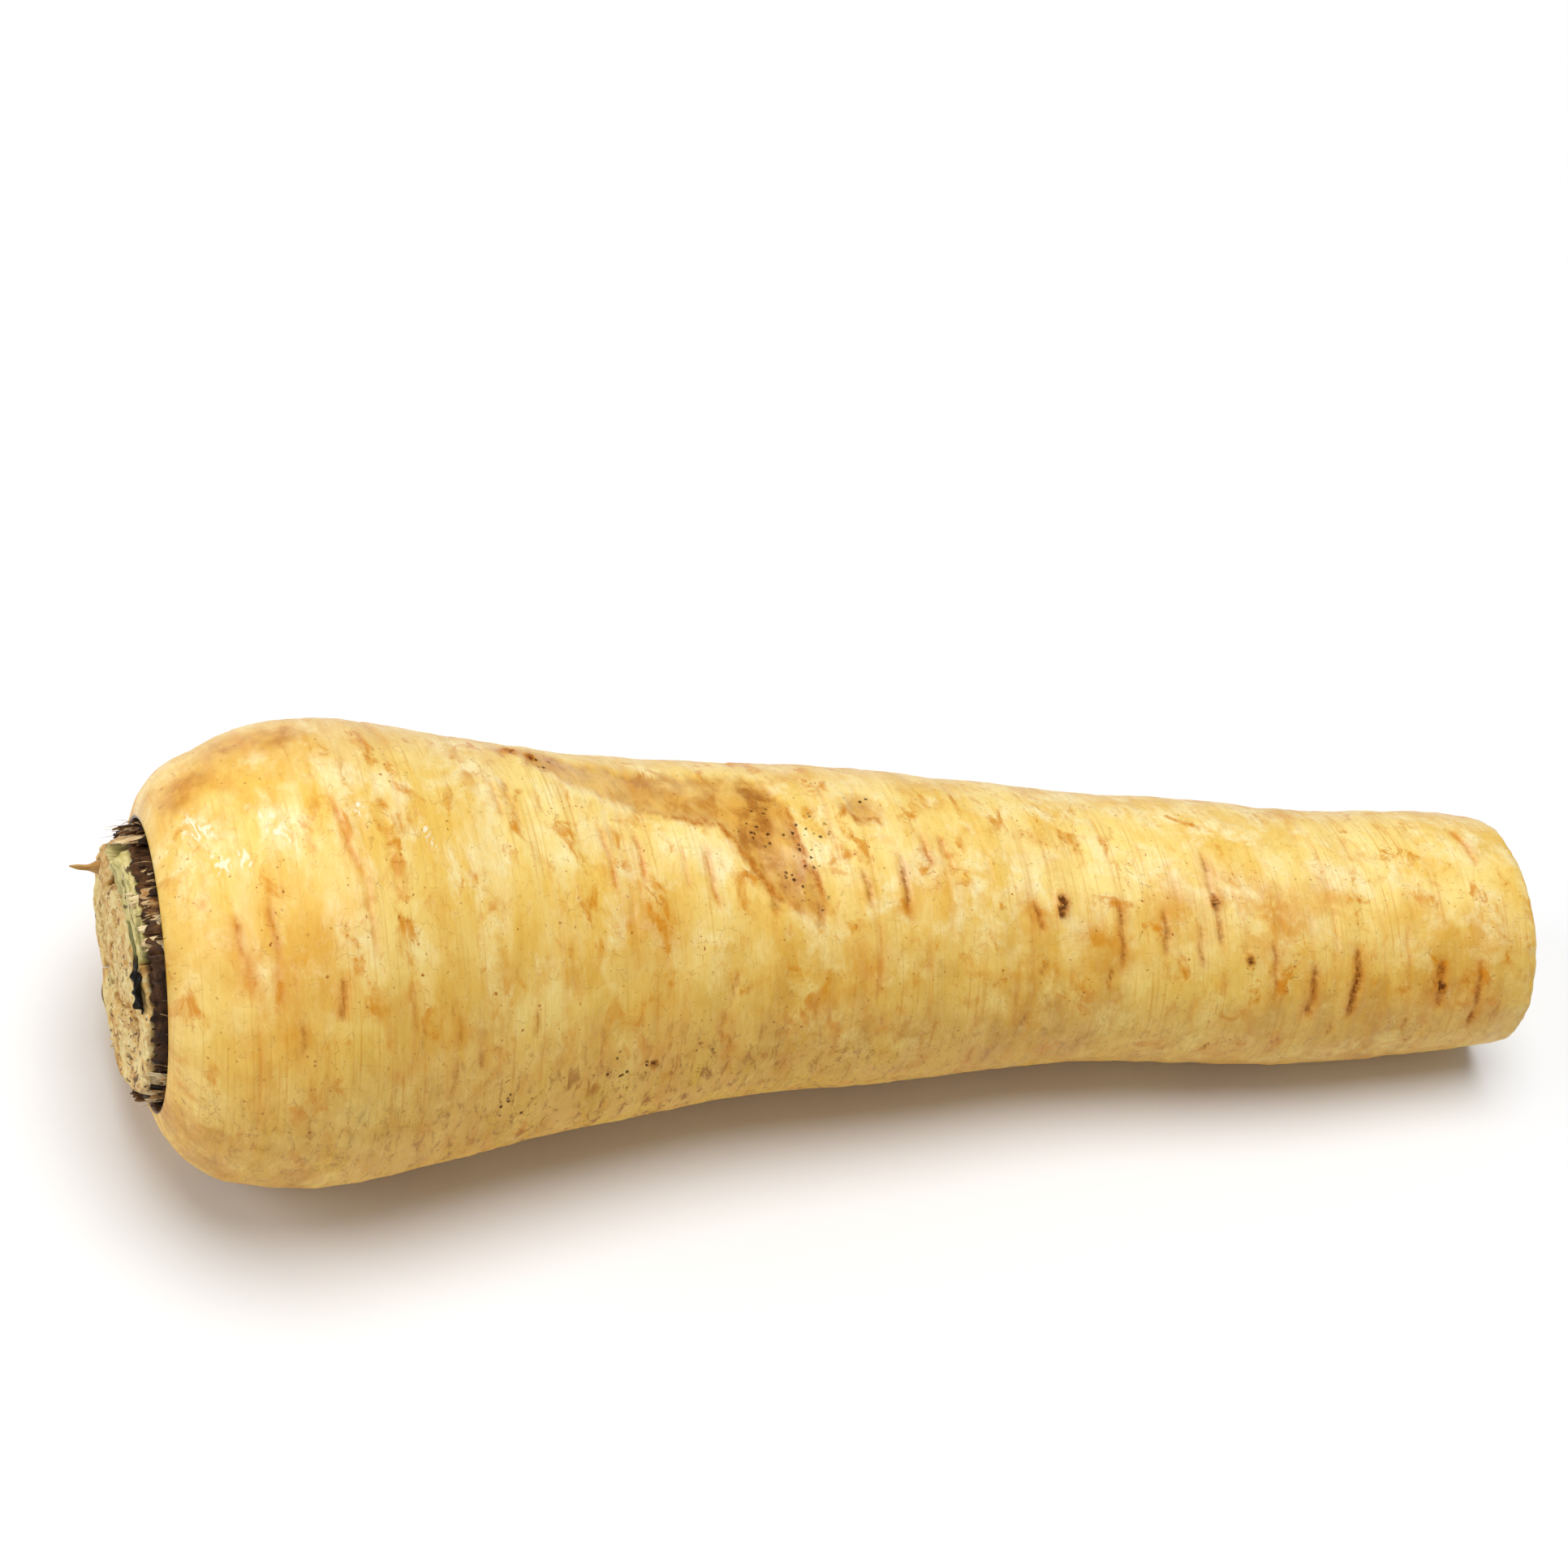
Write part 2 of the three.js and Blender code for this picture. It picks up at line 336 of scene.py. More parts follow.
def rootMiddle(share):
    # sideways and upward place of the root's middle line
    radius = rootShape["shoulderRadius"] * readOutline(rootShape["outline"], np.maximum(share, 0.04))
    hollow = np.sin(np.pi * np.clip((share - 0.22) / 0.62, 0, 1))
    side = readOutline(rootShape["bend"], share) * mm
    height = radius * (1 - rootShape["sectionOval"]) - rootShape["bellyFlat"]
    return side, height + rootShape["bellyHollow"] * hollow * hollow


def spinRoot():
    # a rough profile line is cut fine along the body, then spun round the long axis
    built = bmesh.new()
    corners = [built.verts.new((depth * mm, radius * mm, 0)) for depth, radius, _ in rootShape["profile"]]
    edges = [built.edges.new(pair) for pair in zip(corners, corners[1:])]
    for edge, (_, _, cuts) in zip(edges, rootShape["profile"]):
        if cuts:
            bmesh.ops.subdivide_edges(built, edges=[edge], cuts=cuts)
    bmesh.ops.spin(built, geom=built.verts[:] + built.edges[:], cent=(0, 0, 0), axis=(1, 0, 0),
                   angle=2 * math.pi, steps=rootShape["sides"], use_merge=True)
    bmesh.ops.remove_doubles(built, verts=built.verts, dist=1e-6)
    bmesh.ops.recalc_face_normals(built, faces=built.faces)
    return meshFrom(built, "parsnip_root")


def creaseList():
    # the placed creases, then seeded ones: low on the near side, on the far side, and hairlines everywhere
    chance = random.Random(11)
    narrow, broad = 0.24, 0.42      # half-widths in millimetres; a dark placed crease is broader
    creases = [crease + (0.27 + 0.3 * crease[5],) for crease in skinMarks["creases"]]
    for _ in range(skinMarks["nearScratches"]):
        start = chance.uniform(138, 186)
        strength = chance.uniform(0.25, 0.6)
        dark = chance.choice((0.1, 0.4, 0.9)) * strength
        creases.append((chance.uniform(24, 200), start, start + chance.uniform(4, 13),
                        chance.uniform(-1.1, -0.2), strength, dark, narrow))
    for _ in range(skinMarks["farCreases"]):
        start = chance.uniform(215, 395)
        length = chance.uniform(10, 34)
        strength = chance.uniform(0.3, 0.95)
        dark = chance.choice((0.1, 0.3, 0.8)) * strength
        creases.append((chance.uniform(6, 200), start, start + length, chance.uniform(-1, 1),
                        strength, dark, broad))
    for _ in range(skinMarks["hairlines"]):
        start = chance.uniform(0, 360)
        length = chance.uniform(14, 75)
        creases.append((chance.uniform(4, 202), start, start + length, chance.uniform(-1.2, 1.2),
                        chance.uniform(0.08, 0.3), 0, narrow))
    return creases


def markSkin(along, turn, radius, breakup):
    # strength of every mark at each point of the skin, and how far the skin rises there
    marks = {name: np.zeros(len(along)) for name in ("amber", "dark", "bruise", "patch", "flake")}
    rise = np.zeros(len(along))

    def strengthen(name, values, where=slice(None)):
        marks[name][where] = np.maximum(marks[name][where], values)

    def gapTo(centre):
        # distance round the root from a turn, in millimetres
        return np.radians(turnGap(turn, centre)) * radius / mm

    for index, (at, first, last, lean, amber, dark, width) in enumerate(creaseList()):
        middle = (first + last) / 2
        half = (last - first) / 2
        gap = turnGap(turn, middle)
        near = np.abs(gap) < half * 1.25
        across = gap[near] / half
        wander = 0.22 * np.sin(across * 2.3 + index) + 0.12 * np.sin(across * 7.1 + 2.3 * index)
        offset = along[near] - at - lean * across / 2 - wander
        window = smoothStep(1.2 - np.abs(across), 0, 0.55)
        line = np.exp(-(offset / width) ** 2) * window
        halo = np.exp(-(np.abs(offset) / (2.0 * width)) ** 1.3) * window
        strengthen("amber", halo * amber * (0.75 + 0.5 * breakup[near]), near)
        strengthen("dark", line * window * dark * np.clip(0.7 + 1.4 * breakup[near], 0, 1.3), near)
        rise[near] -= line * (0.07 + 0.15 * amber + 0.12 * dark) * mm
        rise[near] += 0.09 * mm * amber * window * np.exp(-((offset - 2.2 * width) / width) ** 2)
    for at, centre, size, height in skinMarks["lumps"]:
        rise += height * mm * np.exp(-((along - at) ** 2 + gapTo(centre) ** 2) / size ** 2)
    for at, centre, size in skinMarks["knots"]:
        away = np.hypot(along - at, gapTo(centre) * 0.8) / size + 0.5 * breakup
        strengthen("dark", smoothStep(1.35 - away, 0, 0.6))
        strengthen("amber", 0.6 * smoothStep(2.3 - away, 0, 1.4))
        rise += 0.35 * mm * np.exp(-((away - 1.2) / 0.5) ** 2) - 0.2 * mm * np.exp(-away ** 2 * 2)
    for name, soft in (("tan", 2.4), ("bruise", 2.4), ("pepper", 1.5)):
        gap = np.full(len(along), 9.0)
        for at, centre, size in skinMarks[name]:
            gap = np.minimum(gap, np.hypot(along - at, gapTo(centre)) - size)
        marks[name] = smoothStep(soft * 0.4 - gap - 1.3 * breakup, 0, soft)
        if name == "tan":
            # the tan band's lip: a brown edge line, with painted shadow under the lip darkening it
            lipLineAndShadow = np.exp(-((gap + 0.9 * breakup - 0.2) / 0.55) ** 2) * smoothStep(along, 62, 74)
            lipLineAndShadow *= smoothStep(turn, 76, 84) * smoothStep(124 - turn, 0, 10)
            strengthen("amber", 0.7 * lipLineAndShadow)
            strengthen("dark", 0.35 * lipLineAndShadow)
    rise -= 0.42 * mm * marks["tan"] * smoothStep(along, 40, 60)
    rise -= (0.12 + 0.12 * breakup) * mm * marks["bruise"]
    for at, centre, size, strength in skinMarks["patches"]:
        away = np.hypot(along - at, gapTo(centre)) / size
        strengthen("patch", strength * np.exp(-away ** 2))
    # pale worn flakes, partly a painted highlight: they are painted whiter where the light glints on them
    for at, centre, wide, tall in skinMarks["flakes"]:
        gap = gapTo(centre)
        away = np.hypot((along - at - 0.3 * gap) / wide, gap / tall)
        strengthen("flake", smoothStep(1.3 - away + 0.9 * breakup, 0, 0.7))
    # painted shade: the skin is painted palest on top, where the light falls, and darker and more golden
    # down the sides; worn and stained low behind the shoulder
    fromTop = np.abs(turnGap(turn, 92))
    marks["paintedSideShade"] = smoothStep(fromTop, 14, 62) * (0.85 + 0.15 * smoothStep(fromTop, 70, 100))
    marks["dull"] = smoothStep(fromTop, 52, 88) * (0.35 + 0.65 * np.exp(-((along - 62) / 42) ** 2))
    return marks, rise


def makeRoot():
    shape = rootShape
    length = shape["length"]
    mesh = spinRoot()
    points = meshPoints(mesh)
    depth = points[:, 0]
    radius = np.hypot(points[:, 1], points[:, 2])
    angle = np.arctan2(points[:, 2], points[:, 1])
    turn = np.degrees(angle) % 360
    inHollow = (depth < shape["hollowDepth"] + mm) & (radius < shape["hollowEdge"])
    body = ~inHollow & (depth > 0.2 * mm) & (depth < length - shape["tailRound"])
    width = shape["shoulderRadius"] * readOutline(shape["outline"], depth / length)
    nearRim = (21.2 + (depth / mm - 0.12) * 2.3) * mm        # the outline starts just behind the rim
    radius = np.where(body, np.where(depth < 1.03 * mm, nearRim, width), radius)
    onCut = smoothStep(depth, length - 0.35 * mm, length - 0.05 * mm)
    onSide = (1 - onCut) * (~inHollow) * smoothStep(depth, -0.1 * mm, 1.2 * mm)

    rolled = 24 * mm
    place = np.column_stack((depth, rolled * np.cos(angle), rolled * np.sin(angle)))
    breakup = noiseOver(place * (1.0, 0.45, 0.45), 1.7 * mm, 3, 4.0)
    marks, rise = markSkin(depth / mm, turn, np.maximum(radius, mm), breakup)

    # slow swells, soft rings and fine ripples that run round the root
    rise += 0.42 * mm * noiseOver(place, 26 * mm, 1, 1.0)
    rise += 0.15 * mm * noiseOver(place * (1.0, 0.35, 0.35), 5.0 * mm, 2, 2.0)
    rise += 0.10 * mm * noiseOver(place, 4.0 * mm, 3, 9.0)
    rise += 0.03 * mm * noiseOver(place * (1.0, 0.14, 0.14), 1.2 * mm, 2, 3.0)
    radius = radius + rise * onSide
    nibble = noiseOver(place * (0.0, 1.0, 1.0), 4.5 * mm, 3, 6.0)
    pared = noiseOver(place * (0.15, 1.0, 1.0), 15.0 * mm, 1, 12.0)
    radius -= 0.75 * mm * np.abs(nibble) * smoothStep(depth, length - 2.2 * mm, length) * (1 - onCut * 0.6)
    radius -= 1.0 * mm * np.abs(pared) * smoothStep(depth, length - 9 * mm, length) * (1 - onCut * 0.6)

    share = np.clip(depth / length, 0, 1)
    side, height = rootMiddle(share)
    skew = shape["rimSkew"] + (shape["tailSkew"] - shape["rimSkew"]) * smoothStep(share, 0, 0.3)
    deep = np.clip(depth / mm, 0, 1.2) / 1.2
    skew = np.where(inHollow, shape["rimSkew"] + (shape["stubSkew"] - shape["rimSkew"]) * deep, skew)
    side = np.where(inHollow, rootMiddle(0)[0] - shape["stubSkew"] * depth, side)
    height = np.where(inHollow, rootMiddle(0)[1], height)

    across = radius * np.cos(angle) * (1 + shape["sectionOval"])
    up = height + radius * np.sin(angle) * (1 - shape["sectionOval"])
    soft = 0.25 * mm
    up = (up + np.sqrt(up * up + soft * soft)) / 2      # pressed flat where it touches the ground
    cutGrain = noiseOver((across, up, up * 0), 1.3 * mm, 3, 8.0)
    forward = depth - length / 2 + skew * across + 0.07 * mm * cutGrain * onCut
    points = np.column_stack((forward, side + across, up))

    low, high = (np.array(corner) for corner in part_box("root"))
    shift = (low + high) / 2 - (points.min(0) + points.max(0)) / 2
    shift[2] = low[2] - points[:, 2].min()
    setMeshPoints(mesh, points + shift)

    grain = np.column_stack((depth, radius * np.cos(angle), radius * np.sin(angle)))
    addAttribute(mesh, "place", place * (1 - onCut[:, None]) + grain * onCut[:, None])
    addAttribute(mesh, "cut", onCut)
    addAttribute(mesh, "hollow", inHollow.astype(float))
    for name, values in marks.items():
        addAttribute(mesh, name, np.clip(values, 0, 1.2) * (1 - onCut))
    finishPiece(mesh, "parsnip_root", rootSkinMaterial(), "root")
    print("root skin:", len(mesh.vertices), "points")
    return Vector(shift)


skinFinish = {
    "Specular IOR Level": 0.12, "Coat Roughness": 0.34,
    "Subsurface Weight": 0.12, "Subsurface Radius": (1.0, 0.8, 0.45), "Subsurface Scale": 2.2 * mm,
}


def rootSkinMaterial():
    material, tree, shader = newSurface("parsnip_skin", skinFinish)
    place = readMark(tree, "place", "Vector")
    mark = {name: readMark(tree, name)
            for name in ("amber", "dark", "bruise", "tan", "pepper", "patch", "flake", "paintedSideShade",
                         "dull", "cut", "hollow")}

    # large soft changes between gold, straw and cream
    broad = noiseAt(place, 62, 3, 0.55)
    banded = noiseAt(place, (190, 70, 70), 5, 0.6)
    mottle = noiseAt(place, (290, 210, 210), 6, 0.64, 0.5)
    milky = noiseAt(place, (150, 120, 120), 8, 0.68, 0.3)
    fibrous = noiseAt(place, (1500, 420, 420), 5, 0.66, 0.4)
    rough = noiseAt(place, 1500, 3, 0.6)
    colour = mixColour(between(broad, 0.36, 0.62), linear(241, 198, 92), linear(251, 222, 132))
    colour = mixColour(between(banded, 0.48, 0.66, 0, 0.45), colour, linear(253, 233, 166))
    colour = mixColour(between(milky, 0.45, 0.7, 0, 0.95), colour, linear(255, 240, 182))

    # painted shade: darker, more golden sides, away from the lit top
    paintedSideShade = mixColour(between(banded, 0.36, 0.64), linear(198, 138, 32), linear(226, 172, 48))
    paintedSideShade = mixColour(between(broad, 0.42, 0.64, 0, 0.5), paintedSideShade, linear(238, 194, 70))
    paintedSideShade = mixColour(between(milky, 0.45, 0.7, 0, 0.85), paintedSideShade, linear(242, 206, 90))
    colour = mixColour(times(mark["paintedSideShade"], 0.88), colour, paintedSideShade)

    # fine pale and golden fibres
    colour = mixColour(between(fibrous, 0.5, 0.32, 0, 0.13), colour, linear(255, 236, 166))
    colour = mixColour(between(fibrous, 0.52, 0.7, 0, 0.2), colour, linear(222, 152, 24))

    # amber mottles, thicker inside the placed patches
    cloudy = noiseAt(place, (150, 85, 85), 3, 0.6, 0.3)
    mottled = times(between(mottle, 0.5, 0.66), between(cloudy, 0.42, 0.62, 0.2, 0.95))
    patchy = times(mark["patch"], between(mottle, 0.34, 0.62, 0.1, 0.95))
    colour = mixColour(larger(mottled, patchy), colour, linear(216, 140, 12))

    # hairlines that run round the root
    hair = noiseAt(place, (2600, 60, 60), 3, 0.6)
    hair = times(between(hair, 0.53, 0.7, 0, 0.42), between(broad, 0.4, 0.6, 0.35, 1))
    colour = mixColour(hair, colour, linear(206, 132, 16))

    # scuffs: short scratches that cross each other
    bent = wobbled(place, 380, 1.5 * mm)
    web = addNode(tree, "TexVoronoi", {"Vector": bent, "Scale": 520.0}, feature="DISTANCE_TO_EDGE")
    broken = between(noiseAt(place, 900, 2, 0.5), 0.5, 0.6)
    scuff = times(between(web.outputs["Distance"], 0.03, 0.004), broken)
    where = maths("ADD", times(mark["dull"], 0.6), between(cloudy, 0.5, 0.62, 0.16, 0.42))
    colour = mixColour(times(scuff, where), colour, linear(164, 92, 10))

    # worn beige areas and brown stains low behind the shoulder
    beige = times(mark["dull"], between(cloudy, 0.4, 0.58, 0, 0.75))
    colour = mixColour(beige, colour, linear(232, 182, 92))
    blotch = noiseAt(place, (760, 330, 330), 6, 0.74, 0.6)
    stain = times(mark["dull"], between(blotch, 0.5, 0.66, 0, 0.85))
    colour = mixColour(stain, colour, linear(158, 90, 16))

    # tan band, bruise, creases, knots
    tanTone = mixColour(between(mottle, 0.36, 0.66), linear(226, 170, 72), linear(192, 126, 34))
    tanned = times(mark["tan"], between(cloudy, 0.35, 0.6, 0.62, 0.98))
    colour = mixColour(tanned, colour, tanTone)
    bruiseTone = mixColour(between(mottle, 0.36, 0.64), linear(214, 156, 62), linear(170, 106, 30))
    bruiseTone = mixColour(between(rough, 0.5, 0.66, 0, 0.5), bruiseTone, linear(128, 76, 26))
    bruised = times(mark["bruise"], between(mottle, 0.32, 0.58, 0.35, 0.95))
    colour = mixColour(bruised, colour, bruiseTone)
    amber = times(mark["amber"], between(rough, 0.25, 0.6, 0.7, 1.25))
    colour = mixColour(maths("MINIMUM", amber, 0.92), colour, linear(216, 124, 4))
    dark = times(mark["dark"], between(rough, 0.3, 0.55, 0.45, 1.05))
    woody = mixColour(between(rough, 0.4, 0.6), linear(150, 84, 16), linear(78, 38, 6))
    colour = mixColour(maths("MINIMUM", dark, 0.92), colour, woody)

    # specks: fine rust dots all over, black ones over the bruise
    jittered = wobbled(place, 1800, 0.6 * mm)
    specks = larger(dotsAt(jittered, 480, 0.12, 0.34), times(dotsAt(jittered, 1050, 0.2, 0.26), 0.8))
    speckled = times(specks, between(cloudy, 0.35, 0.6, 0.4, 0.95))
    colour = mixColour(speckled, colour, linear(168, 92, 8))
    pepper = times(dotsAt(jittered, 900, 0.32, 0.75), mark["pepper"])
    colour = mixColour(times(pepper, 0.92), colour, linear(70, 38, 12))

    # worn flakes, pale and glossy, with a painted highlight: their near-white colour partly stands for the
    # glint on them
    torn = noiseAt(place, (900, 480, 480), 3, 0.6, 1.6)
    worn = times(mark["flake"], between(torn, 0.5, 0.56))
    colour = mixColour(times(worn, 0.75), colour, linear(255, 247, 218))

    # cut face of the tail: pale flesh, a thin ring round the core
    across = stretched(place, (0, 1, 1))
    spread = addNode(tree, "VectorMath", {0: across}, operation="LENGTH").outputs["Value"]
    outward = addNode(tree, "VectorMath", {0: across}, operation="NORMALIZE").outputs[0]
    pulp = noiseAt(place, 420, 5, 0.62)
    flesh = mixColour(between(pulp, 0.35, 0.7), linear(255, 240, 200), linear(246, 222, 166))
    rays = times(between(noiseAt(outward, 17, 4, 0.7), 0.46, 0.64), between(spread, 0.002, 0.006))
    flesh = mixColour(times(rays, 0.55), flesh, linear(232, 196, 128))
    wavy = between(noiseAt(outward, 2.4, 3, 0.6), 0.2, 0.8, -1.6 * mm, 1.6 * mm)
    core = maths("ADD", spread, wavy)
    ring = times(between(core, 0.0066, 0.0079), between(core, 0.0096, 0.0081))
    flesh = mixColour(times(ring, 0.7), flesh, linear(216, 168, 84))
    flesh = mixColour(between(spread, 0.0145, 0.0163), flesh, linear(232, 190, 104))
    colour = mixColour(mark["cut"], colour, flesh)

    # inside of the crown's hollow: dry, and painted dark as the shade deep between the crown's pieces
    inner = mixColour(between(rough, 0.35, 0.65), linear(64, 40, 22), linear(118, 80, 46))
    colour = mixColour(mark["hollow"], colour, inner)
    tree.links.new(colour, shader.inputs["Base Color"])

    # gloss: waxy, with duller bruise and brighter flakes
    gloss = between(noiseAt(place, (500, 160, 160), 4, 0.6), 0.3, 0.7, 0.34, 0.52)
    gloss = maths("ADD", gloss, times(mark["bruise"], 0.12))
    gloss = maths("ADD", gloss, times(mark["dull"], 0.1))
    gloss = maths("SUBTRACT", gloss, times(worn, 0.2))

    # the marks are duller than the waxy skin between them
    matt = larger(larger(dark, pepper), times(amber, 0.8))
    matt = larger(matt, times(bruised, 0.6))
    waxy = times(between(matt, 0, 1, 0.42, 0.0), between(mark["dull"], 0, 1, 1, 0.1))
    tree.links.new(waxy, shader.inputs["Coat Weight"])
    gloss = maths("ADD", gloss, times(matt, 0.35))
    tree.links.new(gloss, shader.inputs["Roughness"])

    wrinkle = noiseAt(place, (1300, 240, 240), 4, 0.62)
    normal = bumpFrom(wrinkle, 0.3, 0.25 * mm)
    normal = bumpFrom(noiseAt(place, 620, 5, 0.62), 0.3, 0.3 * mm, normal)
    scratch = noiseAt(place, (3200, 900, 900), 2, 0.5, 1.5)
    normal = bumpFrom(scratch, 0.2, 0.12 * mm, normal)
    normal = bumpFrom(maths("SUBTRACT", worn, scuff), 0.4, 0.12 * mm, normal)
    tree.links.new(normal, shader.inputs["Normal"])
    return material


# Crown sizes are millimetres from the rim, and turns are degrees with 0 on the near side and 90 on top.
crown = {
    "hollowFloor": -4.9, "stubHeight": 3.6, "heartRadius": 5.95,
    "wallGrain": 17, "ringGrain": 3.4,      # radii at which the streaks are rolled out
}


def addBlock(built, cuts, shape, tone=0.5):
    # a unit block cut fine, then bent by shape(u, v, w); u and v run -1 to 1 and w from 0 down to -1
    across, thick, deep = cuts
    block = bmesh.new()
    toneLayer = block.verts.layers.float.new("tone")
    bmesh.ops.create_grid(block, x_segments=across, y_segments=thick, size=1)
    pushed = bmesh.ops.extrude_face_region(block, geom=block.faces[:])["geom"]
    lower = [part for part in pushed if isinstance(part, bmesh.types.BMVert)]
    bmesh.ops.translate(block, verts=lower, vec=(0, 0, -1))
    upright = [edge for edge in block.edges if abs(edge.verts[0].co.z - edge.verts[1].co.z) > 0.5]
    if deep > 1:
        bmesh.ops.subdivide_edges(block, edges=upright, cuts=deep - 1, use_grid_fill=True)
    unit = np.array([vert.co[:] for vert in block.verts])
    points = shape(*unit.T)
    tones = tone(points) if callable(tone) else np.full(len(points), tone)
    for vert, point, value in zip(block.verts, points, tones):
        vert.co = point
        vert[toneLayer] = value
    bmesh.ops.recalc_face_normals(block, faces=block.faces)
    mesh = meshFrom(block, "block")
    built.from_mesh(mesh)
    bpy.data.meshes.remove(mesh)


def aroundCrown(turn, radius, height):
    # crown coordinates in millimetres: x towards the near side, y up, z out of the crown
    angle = np.radians(turn)
    return np.column_stack((radius * np.cos(angle), radius * np.sin(angle), height + 0 * angle))


def fromFloor(w, height):
    # stretches a block from the hollow's floor up to a height
    return crown["hollowFloor"] + (1 + w) * (height - crown["hollowFloor"])


def discOf(u, v):
    # a square block's section made round
    return u * np.sqrt(1 - v * v / 2), v * np.sqrt(1 - u * u / 2)


def finishCrownPiece(built, name, material, origin, heights=None):
    # keeps the mesh's crown coordinates for the materials, and puts it on the root
    mesh = meshFrom(built, "parsnip_" + name)
    local = meshPoints(mesh)
    turn = np.arctan2(local[:, 1], local[:, 0])
    reach = np.hypot(local[:, 0], local[:, 1])
    skew = rootShape["stubSkew"]
    nearAxis = Vector((-skew, -1, 0)).normalized()
    outAxis = Vector((-1, skew, 0)).normalized()
    axes = np.array((nearAxis, (0, 0, 1), outAxis))
    wall, ring = crown["wallGrain"], crown["ringGrain"]
    addAttribute(mesh, "place", local * mm)
    x, y = np.cos(turn), np.sin(turn)
    addAttribute(mesh, "grain", np.column_stack((x * wall, y * wall, local[:, 2])) * mm)
    addAttribute(mesh, "rings", np.column_stack((reach, x * ring, y * ring)) * mm)
    addAttribute(mesh, "reach", reach * mm)
    if heights is not None:
        addAttribute(mesh, "face", heights(local))
    setMeshPoints(mesh, np.array(origin) + local @ axes * mm)
    finishPiece(mesh, "parsnip_" + name, material, name)


stalks = {
    "innerRing": (6.0, 11.7),
    "outerRing": (11.8, 17.9),
    "overlap": 2.2,         # degrees, so that the cut ends press against each other
    # first and last turn, extra height
    "inner": [(12, 124, 0.2), (131, 246, 0.0), (253, 365, 0.5)],
    "outer": [(58, 142, 0.0), (147, 232, 0.3), (237, 318, 0.1), (323, 413, 0.4)],
    "notch": {"turn": 122, "wide": 2.1, "deep": 3.4},       # in the green stalk's outer edge
}


def makeStalk(name, ring, arc, top, origin, material, slotName, hook):
    built = bmesh.new()
    first, last = arc
    middle = (first + last) / 2
    half = (last - first) / 2 + stalks["overlap"]
    seed = first * 0.37

    def shape(u, v, w):
        turn = middle + half * u
        thick = (ring[1] - ring[0]) / 2 * (1 - 0.5 * np.abs(u) ** 5)
        edge = noiseOver((u * half * 0.22, v * 2.0, 0 * u), 1.6, 2, seed)
        streak = noiseOver((u * half * 0.25, v * 3.0, w * 0.8), 0.5, 2, seed + 3)
        radius = (ring[0] + ring[1]) / 2 + v * thick + 0.28 * edge + 0.05 * streak * np.abs(v) ** 4
        radius -= 0.5 * smoothStep(-w, 0.2, 0.6) * smoothStep(v, 0.2, 1)
        ringwise = (turn * 0.06, radius, 0 * turn)      # ridges run with the ring
        relief = 0.5 * noiseOver(ringwise, 1.5, 2, seed + 1) + 0.22 * noiseOver(ringwise, 0.5, 2, seed + 2)
        worn = 0.75 * smoothStep(np.abs(v), 0.55, 1.0) * (0.6 + 0.8 * edge)
        height = top - 0.25 + relief - worn - 0.3 * np.abs(u) ** 6
        if hook:
            # a rolled lip round a deep notch in the outer edge
            notch = stalks["notch"]
            away = np.hypot((turn - notch["turn"]) * 0.28 / notch["wide"], (v - 0.85) * 1.8)
            height += 0.7 * np.exp(-((away - 1.25) / 0.3) ** 2)
            height -= notch["deep"] * smoothStep(1.1 - away, 0, 0.6)
        return aroundCrown(turn, radius, fromFloor(w, height))

    addBlock(built, (int(half * 1.1) + 14, 22, 16), shape)
    finishCrownPiece(built, name, material, origin,
                     lambda local: smoothStep(local[:, 2], top - 2.0, top - 1.1))


def makeHeart(origin, material):
    built = bmesh.new()
    top = crown["stubHeight"]

    def shape(u, v, w):
        x, y = (part * crown["heartRadius"] for part in discOf(u, v))
        away = np.hypot(x, y) / crown["heartRadius"]
        flat = (x, y, 0 * x)
        wobble = 1 + 0.05 * noiseOver(flat, 3.0, 2, 5.0)
        height = top - 0.1 + 0.35 * noiseOver(flat, 2.2, 3, 9.0) - 0.8 * smoothStep(away, 0.75, 1.05)
        return np.column_stack((x * wobble, y * wobble, fromFloor(w, height)))

    addBlock(built, (34, 34, 10), shape)
    finishCrownPiece(built, "crown_heart", material, origin,
                     lambda local: smoothStep(local[:, 2], top - 1.6, top - 0.7))


sheaths = {
    "radius": 18.55,
    "stripRadius": (18.7, 19.6), "flakeRadius": (18.2, 19.0), "fibreRadius": (18.8, 19.7),
    "tones": (0.05, 0.2, 0.35, 0.5, 0.7, 0.85),
    # first and last turn, height, tone of the broad plate, strips, fibres, pale flakes over the edge
    "plates": [
        (8, 58, 3.0, 0.16, 0, 5, 0), (60, 103, 2.6, 0.24, 12, 20, 5), (106, 158, 1.9, 0.26, 12, 18, 3),
        (161, 214, 0.9, 0.6, 6, 8, 0), (217, 262, 1.6, 0.5, 6, 8, 0), (265, 314, 2.6, 0.4, 16, 14, 5),
        (317, 365, 2.7, 0.2, 18, 26, 14),
    ],
}


